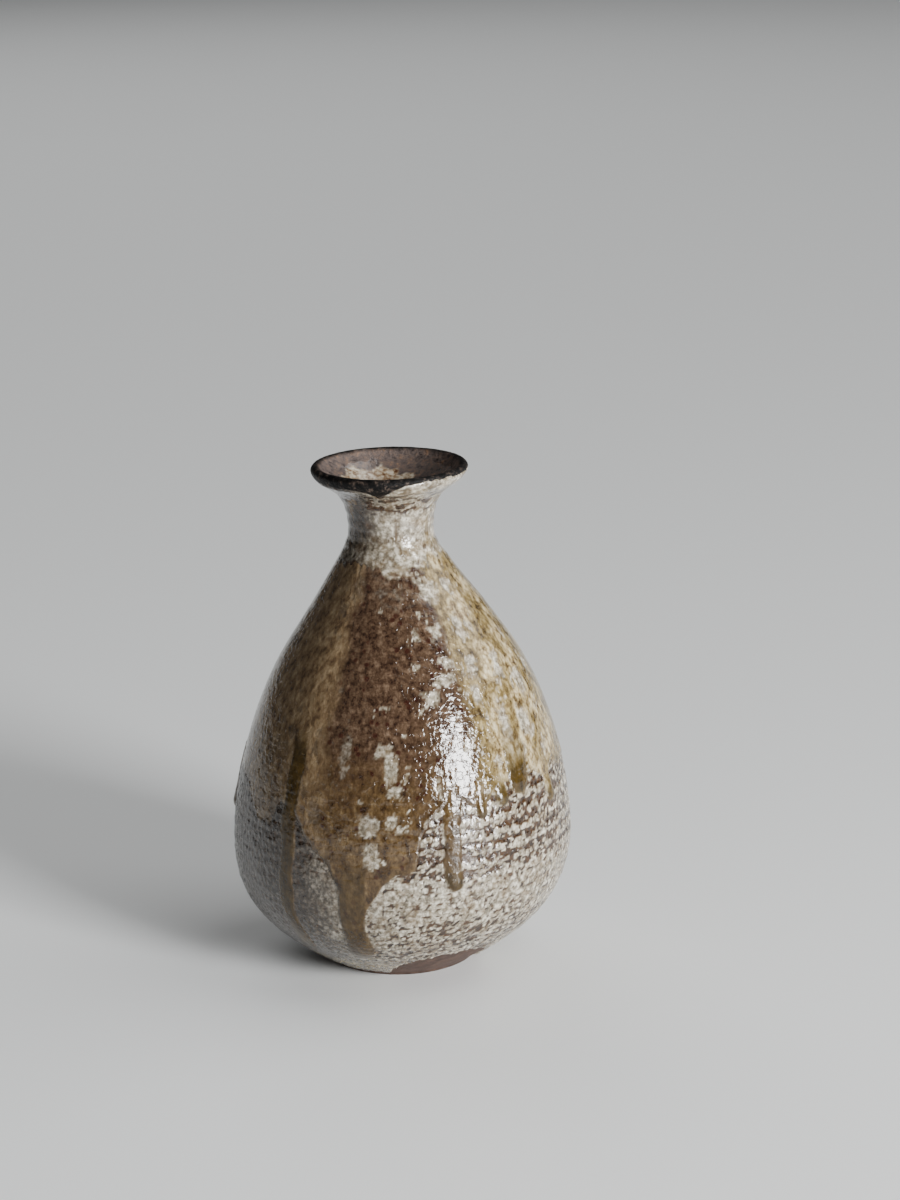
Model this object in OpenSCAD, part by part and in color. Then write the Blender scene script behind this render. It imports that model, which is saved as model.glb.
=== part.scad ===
// Sake bottle (tokkuri): a thrown stoneware teardrop with a pinched neck and a flared mouth.
// The clay is cut where a potter works it differently: foot, belly, neck and lip. Each glaze is a
// coat of its own: the white coat, the lining, the iron band on the rim, the ash that settled on
// the shoulder and the runs that flowed down from it.
// Units are millimetres. +Z is up, the origin is the centre of the foot's underside, and the
// side with the long front run faces -Y. Azimuths are degrees from -Y, positive towards +X.

/* [Silhouette] */
// Widest diameter, over the white coat
belly_d = 80; // [74:1:88]
// Height of the widest point
belly_z = 30.5; // [27:0.5:34]
// Diameter of the foot's edge
foot_d = 36; // [32:1:40]
// Diameter where the shoulder's slope is straight
shoulder_d = 50.3; // [47:0.1:54]
// Height of that place on the shoulder
shoulder_z = 78.5; // [75:0.5:82]
// Slope of the shoulder there, from the horizontal, seen from inside
shoulder_angle = 56; // [52:1:60]
// Narrowest diameter of the neck
neck_d = 19.8; // [18:0.1:22]
// Height of the narrowest place
neck_z = 104; // [102:0.5:106]
// Diameter of the lip's edge
mouth_d = 36.2; // [32:0.2:40]
// Height of the lip's edge
mouth_z = 118.2; // [116:0.2:120]
// Radius that rounds the lip's edge
lip_r = 1.05; // [0.8:0.05:1.3]

/* [Inside] */
// Bore of the throat
throat_d = 13.5; // [12:0.1:15]
// Where the throat's straight bore starts and ends
throat_z = [99, 108]; // [96:0.5:110]
// Thickness of the wall at the belly, both coats included
wall = 4.4; // [3.5:0.1:5]
// Height of the floor's top
floor_z = 6; // [5:0.5:8]
// Diameter of the flat floor
floor_d = 28; // [24:1:30]

/* [Foot] */
// Depth of the hollow turned under the foot
recess_h = 1.4; // [0.5:0.1:2]
// Diameter of that hollow
recess_d = 26; // [22:1:28]
// Width of the sloping side of the hollow
recess_slope = 0.8; // [0.4:0.1:1.5]
// Chamfer at the foot's outer edge
foot_chamfer = 0.5; // [0.3:0.1:0.6]

/* [Glaze] */
// Thickness of the white coat, the lining and the rim band
coat = 0.4; // [0.3:0.05:0.6]
// Height of the white coat's lowest edge
coat_z = 1.6; // [1.2:0.1:2.5]
// Height of the edge between the white coat and the iron band
band_z = 116; // [115:0.2:117]
// How far inside the mouth the iron band reaches, as a diameter
band_inner_d = 30; // [28:0.5:31]

/* [Ash] */
// Thickness of the ash coat on the shoulder
ash = 0.25; // [0.2:0.05:0.4]
// Heights between which the ash coat lies
ash_z = [50, 95]; // [45:1:98]
// Azimuths where the brown ash ends and the pale ash starts, and the other way round
brown_ash_span = [-160, 34]; // [-175:1:60]
// Thickness of the runs
run_t = 0.7; // [0.5:0.05:1]
// Thickness of the drops
drop_t = 0.8; // [0.5:0.05:1]
// Left run: azimuth, width, height of its lower end
left_run_at = [-41.5, 4.8, 9]; // [-60:0.1:40]
// Short run: azimuth, width, height of its lower end
short_run_at = [17.6, 4.4, 28.2]; // [0:0.1:45]
// Front run: azimuth, half its width, height of its lower end
front_run_at = [-15, 3.3, 9.4]; // [-30:0.1:30]

/* [Hidden] */
$fn = 96;

// Fingerprints without glaze above the foot: azimuth, distance from the axis, height, radius
bare_marks = [[26, 24, -2.4, 13.4], [207, 24.5, -3, 11.5]];
// Drops below the pale ash, then the runs on the back: azimuth, width, height of the lower end
drops_at = [[46.6, 6.6, 47.4], [37.2, 3.4, 45.8], [29, 2.8, 44.2], [64, 3.4, 42.5]];
back_runs_at = [[104, 5.2, 21], [143, 4, 33], [178, 5.4, 12], [-128, 4.8, 24], [-92, 3.6, 36]];
// Both sides of the front run's funnel, from the wide end: half width, height
front_funnel_left = [[12.4, 39.5], [3.3, 28]];
front_funnel_right = [[12, 33.5], [3.5, 23]];

steps = 12;              // straight steps that stand for one curve of the section
lip_steps = 7;           // steps around the lip's edge
reach = 60;              // further from the axis than any part of the bottle

clay_colour = "#9b6a58";
foot_colour = "#a87460";
white_colour = "#d9d4cc";
lining_colour = "#cfc6b8";
iron_colour = "#362c28";
brown_colour = "#6f5242";
pale_colour = "#c2b48c";
amber_colour = "#8a6b3c";
olive_colour = "#5f5a2e";

// ---- the section ----
// The section is one path: up the outside from the foot, over the lip's edge, down the inside
// and in to the middle of the floor. A point is [distance from the axis, height].

function unit(angle) = [cos(angle), sin(angle)];

// Points of a cubic curve from a to b that leaves a along the vector u and reaches b along v
function curve(a, u, v, b) = [
    for (i = [0 : steps - 1])
        let (t = i / steps, s = 1 - t)
            s * s * s * a + 3 * s * s * t * (a + u) + 3 * s * t * t * (b - v) + t * t * t * b
];

foot_edge = [foot_d / 2, 0];
belly = [belly_d / 2, belly_z];
shoulder = [shoulder_d / 2, shoulder_z];
waist = [neck_d / 2, neck_z];
lip_centre = [mouth_d / 2 - lip_r, mouth_z];

shoulder_way = unit(180 - shoulder_angle);
up = [0, 1];

outside = concat(
    curve(foot_edge, 15.3 * unit(35), 16.4 * up, belly),
    curve(belly, 9.3 * up, 20.7 * shoulder_way, shoulder),
    curve(shoulder, 21 * shoulder_way, 3.7 * up, waist),
    curve(waist, 11.6 * up, 4.6 * unit(77), lip_centre + [lip_r, 0])
);

lip_turn = 145;          // how far round its edge the lip is rounded, in degrees
lip_edge = [for (i = [0 : lip_steps - 1]) lip_centre + lip_r * unit(lip_turn * i / lip_steps)];

inner_lip = lip_centre + lip_r * unit(lip_turn);
throat_top = [throat_d / 2, throat_z[1]];
throat_bottom = [throat_d / 2, throat_z[0]];
inner_shoulder = shoulder - [wall * 0.95, 0];
inner_belly = belly - [wall, 0];
floor_edge = [floor_d / 2, floor_z];

inside = concat(
    curve(inner_lip, -5 * unit(lip_turn - 90), -6 * up, throat_top),
    [throat_top],
    curve(throat_bottom, -4.5 * up, -12 * shoulder_way, inner_shoulder),
    curve(inner_shoulder, -19 * shoulder_way, -9 * up, inner_belly),
    curve(inner_belly, -15 * up, -13 * unit(22), floor_edge),
    [floor_edge, [0, floor_z]]
);

path = concat(outside, lip_edge, inside);
last = len(path) - 1;

function along(i) = path[min(i + 1, last)] - path[max(i - 1, 0)];
function outward(i) = [along(i).y, -along(i).x] / norm(along(i));
// The path's point i, moved by depth into the clay, or out of it if depth is negative
function under(i, depth) = path[i] - depth * outward(i);

// The path's first outside point at or above a height, and the last one below it
function up_to(z) = min([for (i = [0 : len(outside)]) if (path[i].y >= z) i]);
function below(z) = up_to(z) - 1;
// The path's first inside point within a distance from the axis
function in_to(r) = min([for (i = [len(outside) + 2 : last]) if (path[i].x <= r) i]);

// ---- the clay's joints and the coats' edges, as places on the path ----
foot_top = up_to(7.5);
neck_foot = up_to(96);
lip_foot = up_to(112.5);
throat_end = len(outside) + lip_steps + steps;
throat_start = throat_end + 1;
floor_rim = last - 1;

coat_foot = up_to(coat_z);
band_foot = up_to(band_z);
band_end = in_to(band_inner_d / 2);
ash_foot = up_to(ash_z[0]);
ash_top = up_to(ash_z[1]);

// ---- building blocks ----

// A coat between two depths from place a to place b of the path
module coat_section(a, b, depth_out, depth_in) {
    polygon(concat(
        [for (i = [a : b]) under(i, depth_out)],
        [for (i = [b : -1 : a]) under(i, depth_in)]
    ));
}

module coat_ring(a, b, depth_out, depth_in) {
    rotate_extrude() coat_section(a, b, depth_out, depth_in);
}

// The part of a coat ring between two azimuths
module coat_sector(a, b, depth_out, depth_in, span) {
    rotate([0, 0, span[0] - 90])
        rotate_extrude(angle = span[1] - span[0])
            coat_section(a, b, depth_out, depth_in);
}

// Clay between places a and b of the outside and the facing places c and d of the inside
module clay_ring(a, b, c, d) {
    rotate_extrude()
        polygon(concat(
            [for (i = [a : b]) under(i, coat)],
            [for (i = [c : d]) under(i, coat)]
        ));
}

// A flat outline, drawn as seen from outside, pushed through the wall at an azimuth
module through_wall(azimuth) {
    rotate([0, 0, azimuth])
        rotate([90, 0, 0])
            linear_extrude(reach) children();
}

// A run's outline: a straight tongue with a round drop at its lower end
module tongue(width, low) {
    drop_r = width / 2;
    translate([0, low + drop_r]) circle(drop_r, $fn = 48);
    translate([-drop_r * 0.82, low + drop_r]) square([drop_r * 1.64, 100]);
}

// A run that hangs from the lower edge of the ash
module run(at, thickness) {
    intersection() {
        coat_ring(below(at[2]), ash_foot, -thickness, 0);
        through_wall(at[0]) tongue(at[1], at[2]);
    }
}

// ---- clay ----

module foot_ring() {
    color(foot_colour)
        rotate_extrude()
            polygon(concat(
                [[0, recess_h], [recess_d / 2 - recess_slope, recess_h], [recess_d / 2, 0],
                 [foot_d / 2 - foot_chamfer, 0]],
                [for (i = [1 : foot_top]) under(i, coat)],
                [under(floor_rim, coat), under(last, coat)]
            ));
}

module belly_wall() {
    color(clay_colour) clay_ring(foot_top, neck_foot, throat_start, floor_rim);
}

module neck() {
    color(clay_colour) clay_ring(neck_foot, lip_foot, throat_end, throat_start);
}

module lip() {
    color(clay_colour)
        rotate_extrude()
            polygon([for (i = [lip_foot : throat_end]) under(i, coat)]);
}

// ---- glaze ----

module rim_band() {
    color(iron_colour) coat_ring(band_foot, band_end, 0, coat);
}

module outer_glaze() {
    color(white_colour)
        difference() {
            coat_ring(coat_foot, band_foot, 0, coat);
            for (mark = bare_marks)
                rotate([0, 0, mark[0]])
                    translate([0, -mark[1], mark[2]])
                        sphere(mark[3]);
        }
}

module inner_glaze() {
    color(lining_colour) coat_ring(band_end, last, 0, coat);
}

module ash_mantle() {
    color(brown_colour) coat_sector(ash_foot, ash_top, -ash, 0, brown_ash_span);
}

module pale_ash() {
    color(pale_colour)
        coat_sector(ash_foot, ash_top, -ash, 0, [brown_ash_span[1], brown_ash_span[0] + 360]);
}

module front_run() {
    color(amber_colour)
        intersection() {
            coat_ring(below(front_run_at[2]), ash_foot, -run_t, 0);
            through_wall(front_run_at[0]) {
                tongue(2 * front_run_at[1], front_run_at[2]);
                polygon([
                    [-front_funnel_left[0].x, 100],
                    [-front_funnel_left[0].x, front_funnel_left[0].y],
                    [-front_funnel_left[1].x * 0.82, front_funnel_left[1].y],
                    [front_funnel_right[1].x * 0.82, front_funnel_right[1].y],
                    [front_funnel_right[0].x, front_funnel_right[0].y],
                    [front_funnel_right[0].x, 100]
                ]);
            }
        }
}

module left_run() {
    color(amber_colour) run(left_run_at, run_t);
}

module short_run() {
    color(olive_colour) run(short_run_at, drop_t);
}

module ash_drops() {
    color(olive_colour)
        for (drop = drops_at) run(drop, drop_t);
}

module back_runs() {
    color(amber_colour)
        for (at = back_runs_at) run(at, run_t);
}

foot_ring();
belly_wall();
neck();
lip();
rim_band();
outer_glaze();
inner_glaze();
ash_mantle();
pale_ash();
front_run();
left_run();
short_run();
ash_drops();
back_runs();
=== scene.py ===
"""The looks of a thrown stoneware sake bottle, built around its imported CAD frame.

Every coat of the pot is a surface over one section path: the white feldspar coat, the ash coat
and its runs, the iron band on the lip, the lining and the clay. A place on the pot is an azimuth
in degrees (0 faces -Y, positive towards +X) and a distance along the section path. Lengths are in
millimetres until a mesh is made.
"""

import math
from collections import namedtuple

import bpy
import numpy as np
from mathutils import Matrix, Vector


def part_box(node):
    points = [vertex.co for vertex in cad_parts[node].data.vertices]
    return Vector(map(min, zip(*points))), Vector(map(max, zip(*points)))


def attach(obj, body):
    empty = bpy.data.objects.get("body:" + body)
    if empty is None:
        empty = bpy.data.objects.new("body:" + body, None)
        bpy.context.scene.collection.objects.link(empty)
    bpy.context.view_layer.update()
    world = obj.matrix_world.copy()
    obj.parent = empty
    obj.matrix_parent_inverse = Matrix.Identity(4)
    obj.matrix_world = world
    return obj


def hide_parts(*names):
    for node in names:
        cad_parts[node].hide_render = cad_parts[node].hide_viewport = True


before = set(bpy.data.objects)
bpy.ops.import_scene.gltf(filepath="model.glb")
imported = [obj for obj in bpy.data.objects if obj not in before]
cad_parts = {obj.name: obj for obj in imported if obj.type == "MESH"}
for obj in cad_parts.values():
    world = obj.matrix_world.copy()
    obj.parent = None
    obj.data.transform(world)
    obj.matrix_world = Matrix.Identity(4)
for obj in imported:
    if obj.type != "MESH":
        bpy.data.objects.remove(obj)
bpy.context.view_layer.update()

# ---------------------------------------------------------------- sizes

BELLY_R = 40.0
BELLY_Z = 30.5
FOOT_R = 18.0
SHOULDER_R = 25.15
SHOULDER_Z = 78.5
SHOULDER_ANGLE = 56       # slope of the shoulder, in degrees from the horizontal
NECK_R = 9.9
NECK_Z = 104.0
LIP_R = 18.1
LIP_Z = 118.2
LIP_ROUND = 1.05
LIP_TURN = 145           # how far round the lip's edge goes, in degrees
THROAT_R = 6.75
THROAT_TOP = 108.0
THROAT_BOTTOM = 99.0
WALL = 4.4
FLOOR_Z = 6.0
FLOOR_R = 14.0
RECESS_Z = 1.4
RECESS_R = 13.0
COAT = 0.4               # thickness of the glaze coats
FOOT_JOINT = 16          # heights where the clay pieces meet
NECK_JOINT = 86
LIP_JOINT = 110

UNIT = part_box("outer_glaze")[1].x / BELLY_R      # metres in one of this script's millimetres

# how far the turning axis strays sideways at some heights, as on a pot thrown by hand
LEAN = [(0, -0.9), (18, -0.55), (30, 0.0), (50, 0.25), (62, 0.3), (76, 0.22), (86, -0.15),
        (93, -0.8), (102, -1.35), (120, -1.45)]
MOUTH_TILT = math.radians(0.5)

# ---------------------------------------------------------------- small mathematics


def smooth(x, low, high):
    """0 at low, 1 at high, with a smooth step between them."""
    t = np.clip((x - low) / (high - low), 0, 1)
    return t * t * (3 - 2 * t)


def around(azimuth, centre):
    """Signed angle from centre to azimuth, in degrees, from -180 to 180."""
    return (azimuth - centre + 180) % 360 - 180


def hill(x, width):
    """1 at 0, falling away on both sides over that width."""
    return np.exp(-((x / width) ** 2))


class Noise:
    """Gradient noise in space, about -1 to 1, the same on each run."""

    def __init__(self, seed):
        rng = np.random.RandomState(seed)
        self.order = rng.permutation(256)
        way = rng.normal(size=(256, 3))
        self.gx, self.gy, self.gz = (way / np.linalg.norm(way, axis=1)[:, None]).T.copy()

    def one(self, x, y, z):
        cx, cy, cz = (np.floor(v).astype(np.int64) for v in (x, y, z))
        x, y, z = x - cx, y - cy, z - cz
        ux, uy, uz = (v * v * v * (v * (v * 6 - 15) + 10) for v in (x, y, z))
        total = 0.0
        for dx in (0, 1):
            ix = self.order[(cx + dx) & 255]
            wx = ux if dx else 1 - ux
            for dy in (0, 1):
                iy = self.order[(ix + cy + dy) & 255]
                wxy = wx * (uy if dy else 1 - uy)
                for dz in (0, 1):
                    i = self.order[(iy + cz + dz) & 255]
                    dot = self.gx[i] * (x - dx) + self.gy[i] * (y - dy) + self.gz[i] * (z - dz)
                    total = total + wxy * (uz if dz else 1 - uz) * dot
        return total * 1.7

    def __call__(self, at, size, octaves=1, tall=1.0):
        """Noise with features of about that size in mm, and tall times that height."""
        x, y, z = at.x / size, at.y / size, at.z / (size * tall)
        total, share = 0.0, 0.0
        for k in range(octaves):
            f = 2 ** k
            total = total + self.one(x * f + 13.7 * k, y * f, z * f + 7.1 * k) / f
            share += 1 / f
        return total / share


def scatter(i, j, seed):
    """A number from 0 to 1 for each pair of whole numbers."""
    h = (i * 73856093 ^ j * 19349663 ^ seed * 83492791) & 0xFFFFFFFF
    h = ((h ^ (h >> 13)) * 1274126177) & 0xFFFFFFFF
    h = (h ^ (h >> 16)) & 0xFFFF
    return h / 65535.0


# ---------------------------------------------------------------- the section paths

UP = np.array([0.0, 1.0])


def unit(angle):
    """The direction at an angle in degrees, from outwards to upwards."""
    return np.array([math.cos(math.radians(angle)), math.sin(math.radians(angle))])


def curve(a, u, v, b, steps=90):
    """Points of a cubic curve from a to b that leaves a along u and reaches b along v."""
    a, u, v, b = (np.array(x, float) for x in (a, u, v, b))
    t = np.linspace(0, 1, steps, endpoint=False)[:, None]
    m = 1 - t
    return m**3 * a + 3 * m * m * t * (a + u) + 3 * m * t * t * (b - v) + t**3 * b


class Path:
    """A section line through the given radii and heights, outward side on its right."""

    def __init__(self, points):
        self.points = points
        self.along = np.concatenate([[0], np.cumsum(np.hypot(*np.diff(points, axis=0).T))])
        slope = np.gradient(points, self.along, axis=0)
        self.slope = slope / np.hypot(slope[:, 0], slope[:, 1])[:, None]

    def at(self, s):
        """Radius, height and outward normal at distance s along the line."""
        r, z = (np.interp(s, self.along, v) for v in self.points.T)
        normal_r = np.interp(s, self.along, self.slope[:, 1])
        normal_z = -np.interp(s, self.along, self.slope[:, 0])
        return r, z, normal_r, normal_z


def pot_points():
    """Up the outside, over the lip, down the inside and in to the middle of the floor."""
    belly, shoulder = (BELLY_R, BELLY_Z), (SHOULDER_R, SHOULDER_Z)
    waist, foot = (NECK_R, NECK_Z), (FOOT_R, 0)
    lip_centre = np.array([LIP_R - LIP_ROUND, LIP_Z])
    in_way = unit(180 - SHOULDER_ANGLE)
    inner_lip = lip_centre + LIP_ROUND * unit(LIP_TURN)
    inner_belly = (BELLY_R - WALL, BELLY_Z)
    inner_shoulder = (SHOULDER_R - WALL * 0.95, SHOULDER_Z)
    return np.vstack([
        curve(foot, 15.3 * unit(35), 16.4 * UP, belly),
        curve(belly, 9.3 * UP, 20.7 * in_way, shoulder),
        curve(shoulder, 21 * in_way, 3.7 * UP, waist),
        curve(waist, 11.6 * UP, 4.6 * unit(77), lip_centre + (LIP_ROUND, 0)),
        [lip_centre + LIP_ROUND * unit(LIP_TURN * k / 30) for k in range(30)],
        curve(inner_lip, -5 * unit(LIP_TURN - 90), -6 * UP, (THROAT_R, THROAT_TOP)),
        curve((THROAT_R, THROAT_TOP), -3 * UP, -3 * UP, (THROAT_R, THROAT_BOTTOM), 20),
        curve((THROAT_R, THROAT_BOTTOM), -4.5 * UP, -12 * in_way, inner_shoulder),
        curve(inner_shoulder, -19 * in_way, -9 * UP, inner_belly),
        curve(inner_belly, -15 * UP, -13 * unit(22), (FLOOR_R, FLOOR_Z)),
        curve((FLOOR_R, FLOOR_Z), -4 * unit(0), -4 * unit(0), (0.02, FLOOR_Z), 20),
    ])


POT = Path(pot_points())
CREST = int(np.argmax(POT.points[:, 1]))
LIP_AT = POT.along[CREST]


def outside_at(z):
    """Distance along the pot's path where the outside reaches height z."""
    return float(np.interp(z, POT.points[:CREST, 1], POT.along[:CREST]))


def inside_at(z):
    """Distance along the pot's path where the inside reaches height z, below the lip."""
    return float(np.interp(-z, -POT.points[CREST:, 1], POT.along[CREST:]))


def foot_points():
    """From the middle of the recess, over the foot and a little way up the clay wall."""
    r, z, nr, nz = POT.at(np.linspace(0.9, outside_at(FOOT_JOINT), 60))
    wall = np.stack([r - COAT * nr, z - COAT * nz], -1)
    edge = wall[0]
    return np.vstack([
        [(0.02, RECESS_Z)], [(4, RECESS_Z)], [(8, RECESS_Z)],
        curve((11.4, RECESS_Z), 1.2 * unit(0), 1.4 * unit(0), (RECESS_R + 1.1, 0.0), 16),
        curve((RECESS_R + 1.1, 0.0), unit(0), unit(0), (edge[0] - 0.8, 0.0), 10),
        curve((edge[0] - 0.8, 0.0), 0.5 * unit(0), 0.4 * unit(40), edge, 10),
        wall,
    ])


FOOT = Path(foot_points())


class Spot:
    """Places on the undisturbed pot: azimuth a, path distance s and the point there."""

    def __init__(self, a, s, path=POT):
        self.a, self.s, self.path = a, s, path
        self.r, self.z, self.nr, self.nz = path.at(s)
        t = np.radians(a)
        self.x = self.r * np.sin(t)
        self.y = -self.r * np.cos(t)

    def off(self, azimuth):
        """Distance in mm around the pot from an azimuth."""
        return np.radians(around(self.a, azimuth)) * self.r

    def place(self, h):
        """The point at height h over the path, on the pot as it left the thrower's hands."""
        t = np.radians(self.a)
        r = self.r + h * self.nr
        z = self.z + h * self.nz
        heights, strays = zip(*LEAN)
        x = r * np.sin(t) + np.interp(z, heights, strays)
        z = z + smooth(z, 106, 119) * math.tan(MOUTH_TILT) * x
        return np.stack([x, -r * np.cos(t), z], -1)


# ---------------------------------------------------------------- the glaze's patterns

# one noise for each kind of unevenness, so that they don't line up
LUMPS, RAGGED, BROKEN, STREAK, SPOTS, DRIFT = (Noise(k) for k in range(3, 9))

ROW = 3.2               # pitch of the thrown rows
GRAIN_W = 1.75          # usual width and height of a grain
GRAIN_H = 1.5

# azimuths where the brown ash gives way to the pale ash, and the other way round
PALE_START = 34
PALE_END = 200
# the front run takes over from the brown ash between these heights and azimuths
FRONT_Z = (36.5, 40.5)
FRONT_SPAN = (-38, 10)

# lower edge of the ash coat: azimuth, height
ASH_FOOT = [(-180, 47), (-165, 43), (-150, 50), (-135, 45), (-118, 48), (-104, 43), (-92, 47),
            (-80, 48), (-71, 48), (-63, 44), (-57, 40.5), (-50, 41.5), (-46, 47), (-38, 44),
            (-34, 40), (-30, 37.5), (-25, 34.5), (-21, 29), (-17, 24), (-12, 23), (-7, 29),
            (-2, 32.8), (5, 33.6), (6.6, 41), (9, 44), (12, 46.5), (15, 48), (22, 49),
            (26, 47), (31, 47), (34, 49.5), (42, 51), (56, 51), (64, 48), (70, 51), (78, 48.5),
            (86, 50), (100, 45), (112, 47), (125, 43), (140, 48), (155, 44), (170, 49), (180, 47)]
# upper edge of the ash coat: azimuth, height
ASH_TOP = [(-180, 96), (-120, 97), (-70, 97), (-45, 98), (-20, 97.5), (0, 96.5), (15, 96),
           (30, 97), (45, 99), (70, 100), (100, 98), (140, 97), (180, 96)]
# where the ash is thin and grains show through: azimuth, height, half width, half height
THIN = [(-32, 93, 1.0, 1.9), (-40, 88, 1.2, 1.3), (-47, 62, 1.3, 1.4), (-21, 59.5, 0.9, 3.4),
        (-6, 60.5, 2.0, 1.1), (-3.4, 56.5, 1.3, 3.2), (-2.0, 51.5, 1.6, 1.0),
        (-11, 44, 2.3, 2.2), (-9.9, 37, 1.6, 2.6), (-3.5, 45, 0.8, 1.4), (30, 92.3, 2.0, 2.2),
        (24, 84.2, 1.1, 1.2), (11, 84, 0.5, 0.6), (9, 77.5, 0.6, 0.5), (22, 74.5, 2.0, 1.0),
        (15, 71.3, 1.8, 1.2), (27, 78, 0.9, 0.6), (-31, 46, 0.9, 2.0), (-36, 50, 0.8, 1.0),
        (-34, 60, 0.7, 1.2), (-49, 45, 1.8, 1.6), (-57, 55, 0.9, 1.3), (46, 63, 1.4, 4.0),
        (58, 62, 1.9, 3.0), (52, 57, 1.0, 2.4), (38, 76, 1.0, 2.0), (66, 70, 1.7, 2.6),
        (41, 84, 0.9, 2.0), (11, 43.5, 1.8, 1.7), (36, 71, 0.8, 1.6), (55, 75, 0.8, 2.0),
        (150, 70, 1.8, 2.8), (170, 84, 1.4, 1.8), (-165, 60, 1.6, 3.0), (-140, 76, 1.4, 2.0),
        (-120, 58, 1.8, 2.6), (-98, 80, 1.4, 1.8), (-86, 60, 1.4, 2.0), (120, 62, 1.7, 3.4)]
# a run hangs from its top to its end; stem and bead are its thickness above and at the end,
# and olive_stem and olive_bead say how olive it looks there
Run = namedtuple("Run", "node azimuth top end half_width stem bead olive_stem olive_bead")
RUNS = [
    Run("front_run", -15.8, 33, 8.6, 3.15, 0.28, 0.38, 0.55, 0.5),
    Run("left_run", -41.3, 60, 8.4, 2.2, 0.14, 0.24, 0.9, 0.9),
    Run("short_run", 17.6, 52, 28.2, 2.2, 0.18, 0.36, 0.3, 1.0),
    Run("ash_drops", 46.6, 60, 47.4, 3.3, 0.24, 0.46, 0.45, 1.0),
    Run("ash_drops", 37.2, 52, 45.8, 1.7, 0.25, 0.60, 0.4, 0.9),
    Run("ash_drops", 29.0, 50, 44.2, 1.4, 0.25, 0.60, 0.2, 0.7),
    Run("ash_drops", 64.0, 50, 42.5, 1.7, 0.25, 0.60, 0.3, 0.8),
    Run("back_runs", 104, 50, 21, 2.6, 0.34, 0.80, 0.3, 0.9),
    Run("back_runs", 143, 52, 33, 2.0, 0.30, 0.70, 0.3, 0.9),
    Run("back_runs", 178, 50, 12, 2.7, 0.34, 0.50, 0.2, 0.5),
    Run("back_runs", -128, 50, 24, 2.4, 0.34, 0.80, 0.2, 0.9),
    Run("back_runs", -92, 50, 36, 1.8, 0.30, 0.65, 0.3, 0.8),
]
# bare marks over the foot, each the reach of a ball: azimuth, distance from the axis, height
# and radius
BARE_MARKS = [(26, 24, -2.4, 13.4), (207, 24.5, -3, 11.5)]
# lower edge of the iron band: azimuth, height
BAND_FOOT = [(-180, 116.5), (-120, 116.2), (-90, 116.3), (-60, 116.4), (-30, 116.6),
             (-18, 116.2), (-9, 114.6), (-3, 115.3), (4, 116.8), (12, 117.9), (30, 118.5),
             (55, 118.4), (85, 118.1), (120, 117.2), (180, 116.5)]


def by_azimuth(table, a):
    """The table's value at each azimuth, with straight lines between its rows."""
    azimuths, values = zip(*table)
    return np.interp(around(a, 0), azimuths, values)


def grains(at, seed):
    """How deep each point is inside its own grain, in mm. Grains sit in rows around the pot."""
    row = np.floor(at.s / GRAIN_H).astype(np.int64)
    nearest = np.full(at.s.shape, 99.0)
    second = nearest.copy()
    for k in (row - 1, row, row + 1):
        row_r = POT.at((k + 0.5) * GRAIN_H)[0]
        count = np.maximum(8, np.round(2 * math.pi * row_r / GRAIN_W)).astype(np.int64)
        shift = scatter(k, 5, seed)
        first = np.floor((at.a % 360) / 360 * count - shift).astype(np.int64)
        for c in (first - 1, first, first + 1):
            wrapped = c % count
            jog_a = 0.9 * (scatter(k, wrapped, seed) - 0.5)
            jog_s = 0.85 * (scatter(wrapped, k, seed + 1) - 0.5)
            across = at.off((c + shift + 0.5 + jog_a) * 360 / count)
            d = np.hypot(across, at.s - (k + 0.5 + jog_s) * GRAIN_H)
            d = d * (0.85 + 0.3 * scatter(wrapped, k, seed + 2))
            second = np.where(d < nearest, nearest, np.minimum(second, d))
            nearest = np.minimum(nearest, d)
    return second - nearest


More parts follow.
